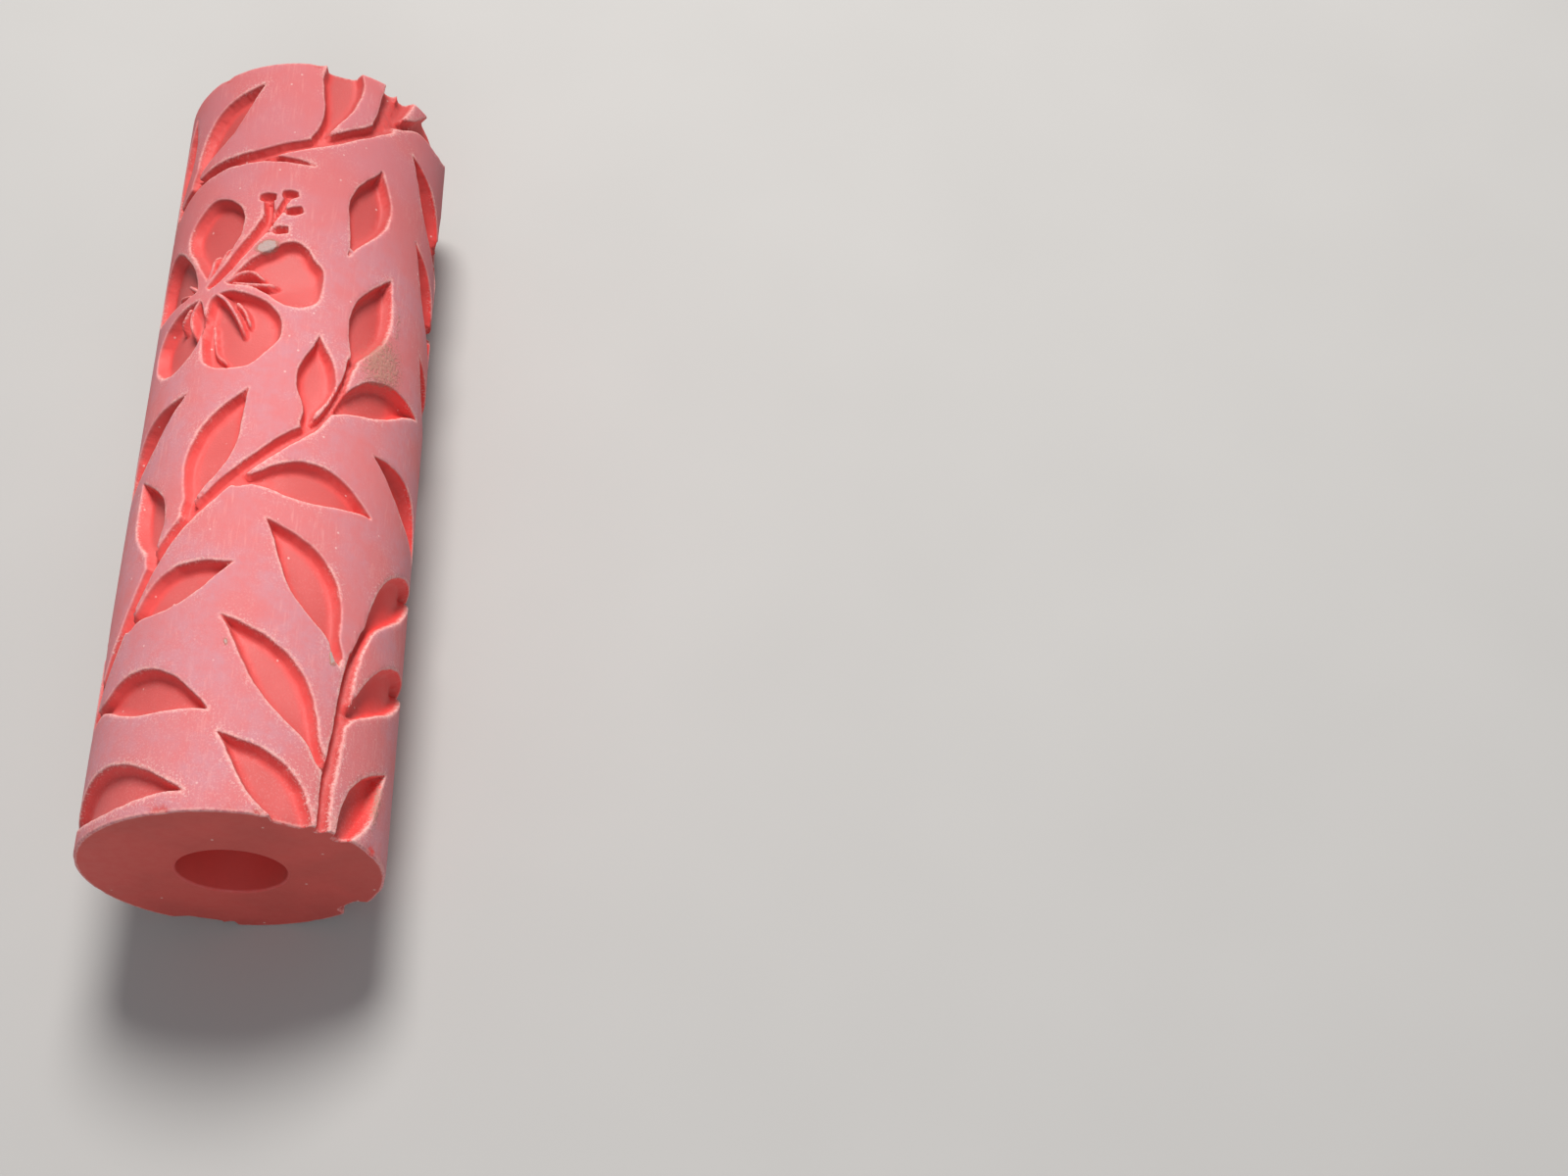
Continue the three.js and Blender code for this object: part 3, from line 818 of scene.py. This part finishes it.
def make_grain():
    """Fine pits and a soft orange peel, as a height in millimetres"""
    tree, given, result = new_group("cast_grain", [("Place", VECTOR), ("Pits", FLOAT)],
                                    [("Height", FLOAT)])
    fine = cloud(tree, given.outputs["Place"], 3.2, 3, 0.6)
    soft = cloud(tree, given.outputs["Place"], 0.8, 2, 0.5)
    height = maths(tree, "ADD", times(tree, fine, given.outputs["Pits"]), times(tree, soft, 0.06))
    tree.links.new(height, result.inputs["Height"])
    return tree


def make_specks():
    """Scattered crumbs of dry clay: round dots, each in its own cell of a Voronoi pattern"""
    tree, given, result = new_group("clay_specks", [("Place", VECTOR), ("Share", FLOAT)],
                                    [("Specks", FLOAT)])
    inputs = {"Vector": given.outputs["Place"], "Scale": 0.55}
    cells = add_node(tree, "ShaderNodeTexVoronoi", inputs)
    dot = ramp(tree, cells.outputs["Distance"], 0.05, 0.17, 1, 0)
    pick = add_node(tree, "ShaderNodeSeparateColor", {"Color": cells.outputs["Color"]}).outputs[0]
    chosen = maths(tree, "LESS_THAN", pick, given.outputs["Share"])
    tree.links.new(times(tree, dot, chosen), result.inputs["Specks"])
    return tree


mottle, grain, specks = make_mottle(), make_grain(), make_specks()
print("groups:", [group.name for group in (mottle, grain, specks)])


# %% [markdown]
# Each finish starts from the same few nodes, and ends in a bump from the shared grain. Places are
# turned into millimetres, so that the scale of a pattern says how many of its cells fit in one.

# %% What every finish starts and ends with
def place_group(tree, group, inputs):
    node = tree.nodes.new("ShaderNodeGroup")
    node.node_tree = group
    for name, value in inputs.items():
        feed(tree, node.inputs[name], value)
    return node


def new_finish(name):
    """A material with one shader, and the object's own place in millimetres"""
    material = bpy.data.materials.new(name)
    material.use_nodes = True
    tree = material.node_tree
    tree.nodes.clear()
    output = tree.nodes.new("ShaderNodeOutputMaterial")
    shader = tree.nodes.new("ShaderNodeBsdfPrincipled")
    tree.links.new(shader.outputs[0], output.inputs[0])
    coordinates = tree.nodes.new("ShaderNodeTexCoord")
    return material, tree, shader, mapped(tree, coordinates.outputs["Object"], (1000, 1000, 1000))


def grain_height(tree, place, pits):
    return place_group(tree, grain, {"Place": place, "Pits": pits}).outputs["Height"]


def add_bump(tree, shader, heights, strength):
    inputs = {"Height": heights, "Strength": strength, "Distance": MM}
    bump = add_node(tree, "ShaderNodeBump", inputs)
    tree.links.new(bump.outputs[0], shader.inputs["Normal"])


def across_and_along(tree, place):
    parts = add_node(tree, "ShaderNodeSeparateXYZ", {"Vector": place})
    return parts.outputs["X"], parts.outputs["Y"]


def way_to_end(tree, along):
    return maths(tree, "SUBTRACT", HALF_LENGTH, maths(tree, "ABSOLUTE", along))


def specks_of(tree, place, share):
    return place_group(tree, specks, {"Place": place, "Share": share}).outputs["Specks"]


# %% [markdown]
# ## The dusted outer face
# New rubber is a clear coral. After use a film of dried clay slip clings to the outer face and
# turns it dusty pink with lavender clouds, while the pockets, which are brushed out, stay coral.
# Their walls are painted a redder shade where they face away from the light, and the pockets are
# painted a deeper red at the far end and on the right, as shade. The film is drawn out along the
# roller in faint streaks and worn in blotches. Towards the far end the film is painted redder and
# everything darker: painted shade for the dimmer light there. Rims catch more of the film, most of
# all near one end, so they have a pale line that comes and goes; where they face the light that
# line is a painted highlight as well. All this follows the attributes: "sunk" tells face from
# pocket, "edge_distance" finds rims and walls, and "facing_light" finds the sides that face the
# light.

# %% Colours of the dusted rubber
CORAL = (0.62, 0.118, 0.114, 1)
# Painted shade: the redder tone of pocket walls that face away from the light
SHADED_WALL_RED = (0.76, 0.078, 0.072, 1)
# Painted shade: a deeper red for the pockets at the far end, and a deep red for those on the right
SHADED_CORAL = (0.50, 0.062, 0.057, 1)
SHADE_RED = (0.84, 0.045, 0.04, 1)
FILM_PINK = (0.62, 0.178, 0.186, 1)
FILM_LAVENDER = (0.56, 0.22, 0.25, 1)
# Film in worn blotches, and painted shade for the film towards the far end
WORN_AND_SHADED_FILM = (0.64, 0.145, 0.148, 1)
PALE_RIM = (0.80, 0.40, 0.37, 1)
DRY_CLAY = (0.47, 0.215, 0.172, 1)
THICK_CLAY = (0.46, 0.35, 0.325, 1)
CRUMB = (0.82, 0.56, 0.52, 1)
# Painted shade: the colour is multiplied by this towards the far end
FAR_END_SHADE = (0.45, 0.36, 0.38, 1)


# %% The film on the face
def attribute(tree, name):
    return add_node(tree, "ShaderNodeAttribute", attribute_name=name).outputs["Fac"]


dusted, tree, shader, place = new_finish("dusted_rubber")
away, sunk, clay_mask, facing_light = (attribute(tree, name) for name in NAMES)
across, along = across_and_along(tree, place)
clouds = place_group(tree, mottle, {"Place": place, "Blotches": 0.35})
ragged = cloud(tree, place, 1.6, 4, 0.65)
dusty = times(tree, ramp(tree, cloud(tree, place, 0.13, 2), 0.42, 0.62), 0.6)
dusty = larger(tree, dusty, ramp(tree, along, -78, -40, 0.9, 0))

film_colour = mix(tree, clouds.outputs["Clouds"], FILM_PINK, FILM_LAVENDER)
# Worn blotches, and towards the far end painted shade: the film turns redder there
wear_and_far_shade = larger(tree, clouds.outputs["Blotches"], ramp(tree, along, 20, 60, 0, 0.4))
film_colour = mix(tree, wear_and_far_shade, film_colour, WORN_AND_SHADED_FILM)
streaks = ramp(tree, cloud(tree, mapped(tree, place, (1, 0.12, 1)), 1.9, 3, 0.6), 0.5, 0.7)
strength = ramp(tree, cloud(tree, place, 0.09, 2), 0.45, 0.65, 0.03, 0.22)
film_colour = mix(tree, times(tree, streaks, strength), film_colour, PALE_RIM)
print("dusted rubber: film")

# %% Floors and walls of the pockets
# Painted shade: the pockets turn deeper red towards the far end and on the right; the clouds add a
# random tone as well
deep = larger(tree, ramp(tree, along, 10, 45, 0, 0.5), ramp(tree, across, 11, 19, 0, 0.8))
deep = larger(tree, deep, times(tree, clouds.outputs["Clouds"], 0.35))
floor_colour = mix(tree, deep, CORAL, SHADED_CORAL)
# Painted shade: the pockets on the far right, which lie in shade, are deep red
floor_colour = mix(tree, ramp(tree, across, 19.5, 22, 0, 0.9), floor_colour, SHADE_RED)
# Painted shade on the walls: redder from the rim down, least where they face the light
wall_in_shade = times(tree, ramp(tree, away, -0.3, 0.0, 1, 0), ramp(tree, away, -2.3, -0.7))
wall_in_shade = times(tree, wall_in_shade, ramp(tree, facing_light, -0.15, 0.3, 0.9, 0.15))
pocket_colour = mix(tree, wall_in_shade, floor_colour, SHADED_WALL_RED)
in_pocket = ramp(tree, maths(tree, "ADD", sunk, times(tree, ragged, 0.5)), 0.3, 0.55)
colour = mix(tree, in_pocket, film_colour, pocket_colour)
print("dusted rubber: pockets")

# %% Pale rims
# The pale rim is clay dust, and on the side that faces the light also a painted highlight: it is
# stronger there and reaches further into the wall
rim_width = ramp(tree, dusty, 0, 1, 0.55, 0.95)
into_wall = ramp(tree, facing_light, 0.08, 0.5, -0.12, -0.3)
wall_end = ramp(tree, away, into_wall, maths(tree, "ADD", into_wall, 0.3))
on_rim = times(tree, ramp(tree, away, 0.05, rim_width, 1, 0), wall_end)
on_rim = times(tree, on_rim, ramp(tree, ragged, 0.36, 0.58, 0.2, 1))
dust_and_highlight = times(tree, larger(tree, dusty, ramp(tree, facing_light, 0.08, 0.5)), 0.8)
on_rim = times(tree, on_rim, maths(tree, "ADD", dust_and_highlight, 0.45, clamp=True))
colour = mix(tree, on_rim, colour, PALE_RIM)
print("dusted rubber: rims")

# %% [markdown]
# Over it lies a last coat of small things: crumbs and powder of dry clay, the few places where
# slip dried on, and a pale line along the edge of each end. The roughness falls where the rubber is
# clean, so the pocket floors get the soft shine that the dusty face lacks.

# %% Crumbs, powder and dried clay
crumbs = specks_of(tree, place, 0.1)
powder = times(tree, ramp(tree, cloud(tree, place, 2.6, 2), 0.52, 0.66), dusty)
powder = times(tree, powder, ramp(tree, away, 0.3, 2.4, 1, 0.25))
powder = times(tree, powder, ramp(tree, sunk, 0.3, 1.2, 1, 0.15))
crumbs = larger(tree, crumbs, powder)
colour = mix(tree, times(tree, crumbs, 0.6), colour, CRUMB)
broken = times(tree, maths(tree, "SUBTRACT", ragged, 0.5), 1.6)
dried = ramp(tree, maths(tree, "ADD", clay_mask, broken), 0.15, 0.65)
dried = times(tree, dried, ramp(tree, clay_mask, 0.05, 0.55, 0, 0.95))
dried = times(tree, dried, ramp(tree, sunk, 0.5, 1.3, 1, 0.2))
clay_colour = mix(tree, ramp(tree, clay_mask, 0.62, 0.78), DRY_CLAY, THICK_CLAY)
colour = mix(tree, dried, colour, clay_colour)
print("dusted rubber: crumbs and dried clay")

# %% The edges of the ends, and painted shade at the far end
end_line = ramp(tree, way_to_end(tree, along), 0.2, 0.8, 1, 0)
end_line = times(tree, end_line, ramp(tree, ragged, 0.38, 0.58))
colour = mix(tree, times(tree, end_line, 0.6), colour, PALE_RIM)
# Painted shade: everything darker towards the far end, where the light is dimmer
colour = mix(tree, ramp(tree, along, 5, 60, 0, 0.35), colour, FAR_END_SHADE, "MULTIPLY")
tree.links.new(colour, shader.inputs["Base Color"])
print("dusted rubber: colour")

# %% Roughness, bump and a little light under the surface
rough = mix(tree, in_pocket, (0.85, 0.85, 0.85, 1), (0.58, 0.58, 0.58, 1))
rough = maths(tree, "ADD", rough, times(tree, dried, 0.15), clamp=True)
tree.links.new(rough, shader.inputs["Roughness"])
heights = maths(tree, "ADD", grain_height(tree, place, 0.05), times(tree, crumbs, 0.07))
heights = maths(tree, "ADD", heights, times(tree, times(tree, dried, ragged), 0.4))
add_bump(tree, shader, heights, 0.6)
shader.inputs["Specular IOR Level"].default_value = 0.35
shader.inputs["Subsurface Weight"].default_value = 0.12
shader.inputs["Subsurface Radius"].default_value = (0.0025, 0.0006, 0.0005)
shader.inputs["Subsurface Scale"].default_value = 1.0
print("dusted rubber: roughness and bump")

# %% [markdown]
# ## The ends and the bore
# The flat ends were trimmed clean, so they show the bare rubber: a brick red, smooth and matte,
# with a faint cloudiness, a crumb here and there and a worn, paler line along the outer edge. The
# bore is the same rubber in a slightly darker and deeper red, with a slightly paler edge at its
# mouth.

# %% The trimmed ends
END_RED = (0.62, 0.084, 0.068, 1)
END_DARK = (0.54, 0.076, 0.061, 1)
BORE_RED = (0.66, 0.06, 0.05, 1)

trimmed, tree, shader, place = new_finish("trimmed_rubber")
clouds = place_group(tree, mottle, {"Place": place, "Blotches": 1.0})
colour = mix(tree, clouds.outputs["Clouds"], END_RED, END_DARK)
colour = mix(tree, times(tree, clouds.outputs["Blotches"], 0.06), colour, CORAL)
centred = mapped(tree, place, (1, 0, 1), (0, 0, -OUTER_RADIUS))
radius = add_node(tree, "ShaderNodeVectorMath", {0: centred}, operation="LENGTH").outputs["Value"]
edge_line = ramp(tree, radius, OUTER_RADIUS - 0.75, OUTER_RADIUS - 0.3)
edge_line = times(tree, edge_line, ramp(tree, cloud(tree, place, 1.1, 3), 0.4, 0.6, 0.3, 0.95))
colour = mix(tree, edge_line, colour, PALE_RIM)
colour = mix(tree, times(tree, specks_of(tree, place, 0.1), 0.8), colour, CRUMB)
tree.links.new(colour, shader.inputs["Base Color"])
rough = ramp(tree, clouds.outputs["Blotches"], 0, 1, 0.6, 0.7)
tree.links.new(rough, shader.inputs["Roughness"])
add_bump(tree, shader, grain_height(tree, place, 0.025), 0.4)
print("trimmed rubber: ends")

# %% The bore
bored, tree, shader, place = new_finish("bore_rubber")
clouds = place_group(tree, mottle, {"Place": place, "Blotches": 0.0})
colour = mix(tree, times(tree, clouds.outputs["Clouds"], 0.3), BORE_RED, END_DARK)
across, along = across_and_along(tree, place)
mouth = ramp(tree, way_to_end(tree, along), 0.05, 0.5, 1, 0)
mouth = times(tree, mouth, ramp(tree, cloud(tree, place, 0.9, 3), 0.4, 0.6, 0.3, 1))
colour = mix(tree, times(tree, mouth, 0.6), colour, CORAL)
tree.links.new(colour, shader.inputs["Base Color"])
shader.inputs["Roughness"].default_value = 0.6
add_bump(tree, shader, grain_height(tree, place, 0.03), 0.4)

for finish in (dusted, trimmed, bored):
    carved.materials.append(finish)
print("slots:", [slot.name for slot in carved.materials])

# %% [markdown]
# ## Floor, light and camera
# The roller lies on a plain pale floor. The main light is large and soft and stands high at the
# back, a little to the right, so the near end is in shade and the walls of the pockets show. A weak
# second light from the front and the pale surroundings keep the shades open. The camera looks down
# from close by.

# %% The floor
ground = bmesh.new()
bmesh.ops.create_grid(ground, x_segments=1, y_segments=1, size=1.5)
ground_mesh = bpy.data.meshes.new("floor")
ground.to_mesh(ground_mesh)
ground.free()
floor = bpy.data.objects.new("floor", ground_mesh)
bpy.context.scene.collection.objects.link(floor)

pale, tree, shader, place = new_finish("pale_floor")
shades = (0.43, 0.425, 0.415, 1), (0.46, 0.455, 0.445, 1)
tree.links.new(mix(tree, cloud(tree, place, 0.02, 2), *shades), shader.inputs["Base Color"])
shader.inputs["Roughness"].default_value = 0.9
ground_mesh.materials.append(pale)


# %% Lights
def soft_light(name, place, size, watts, colour):
    data = bpy.data.lights.new(name, "AREA")
    data.shape, data.size, data.energy, data.color = "DISK", size, watts, colour
    lamp = bpy.data.objects.new(name, data)
    bpy.context.scene.collection.objects.link(lamp)
    lamp.location = place
    aim = Vector((0, 0, 0.03)) - lamp.location
    lamp.rotation_euler = aim.to_track_quat("-Z", "Y").to_euler()


soft_light("key", (0.08, 0.4, 0.82), 0.36, 10.5, (1.0, 0.97, 0.94))
soft_light("fill", (0.1, -0.7, 0.6), 0.6, 1.85, (0.95, 0.97, 1.0))
world = bpy.data.worlds.new("pale_room")
world.use_nodes = True
surroundings = world.node_tree.nodes["Background"]
surroundings.inputs["Color"].default_value = (0.95, 0.96, 1.0, 1)
surroundings.inputs["Strength"].default_value = 0.22
bpy.context.scene.world = world
bpy.context.scene.view_settings.view_transform = "Standard"

# %% The camera
camera_data = bpy.data.cameras.new("camera")
camera_data.lens, camera_data.sensor_width = 47.337, 36
camera = bpy.data.objects.new("camera", camera_data)
bpy.context.scene.collection.objects.link(camera)
camera.location = (0.09163, -0.20839, 0.34196)
camera.rotation_euler = [math.radians(angle) for angle in (29.8893, 0.5269, -1.0230)]
bpy.context.scene.camera = camera
print("camera at", [round(x, 3) for x in camera.location])
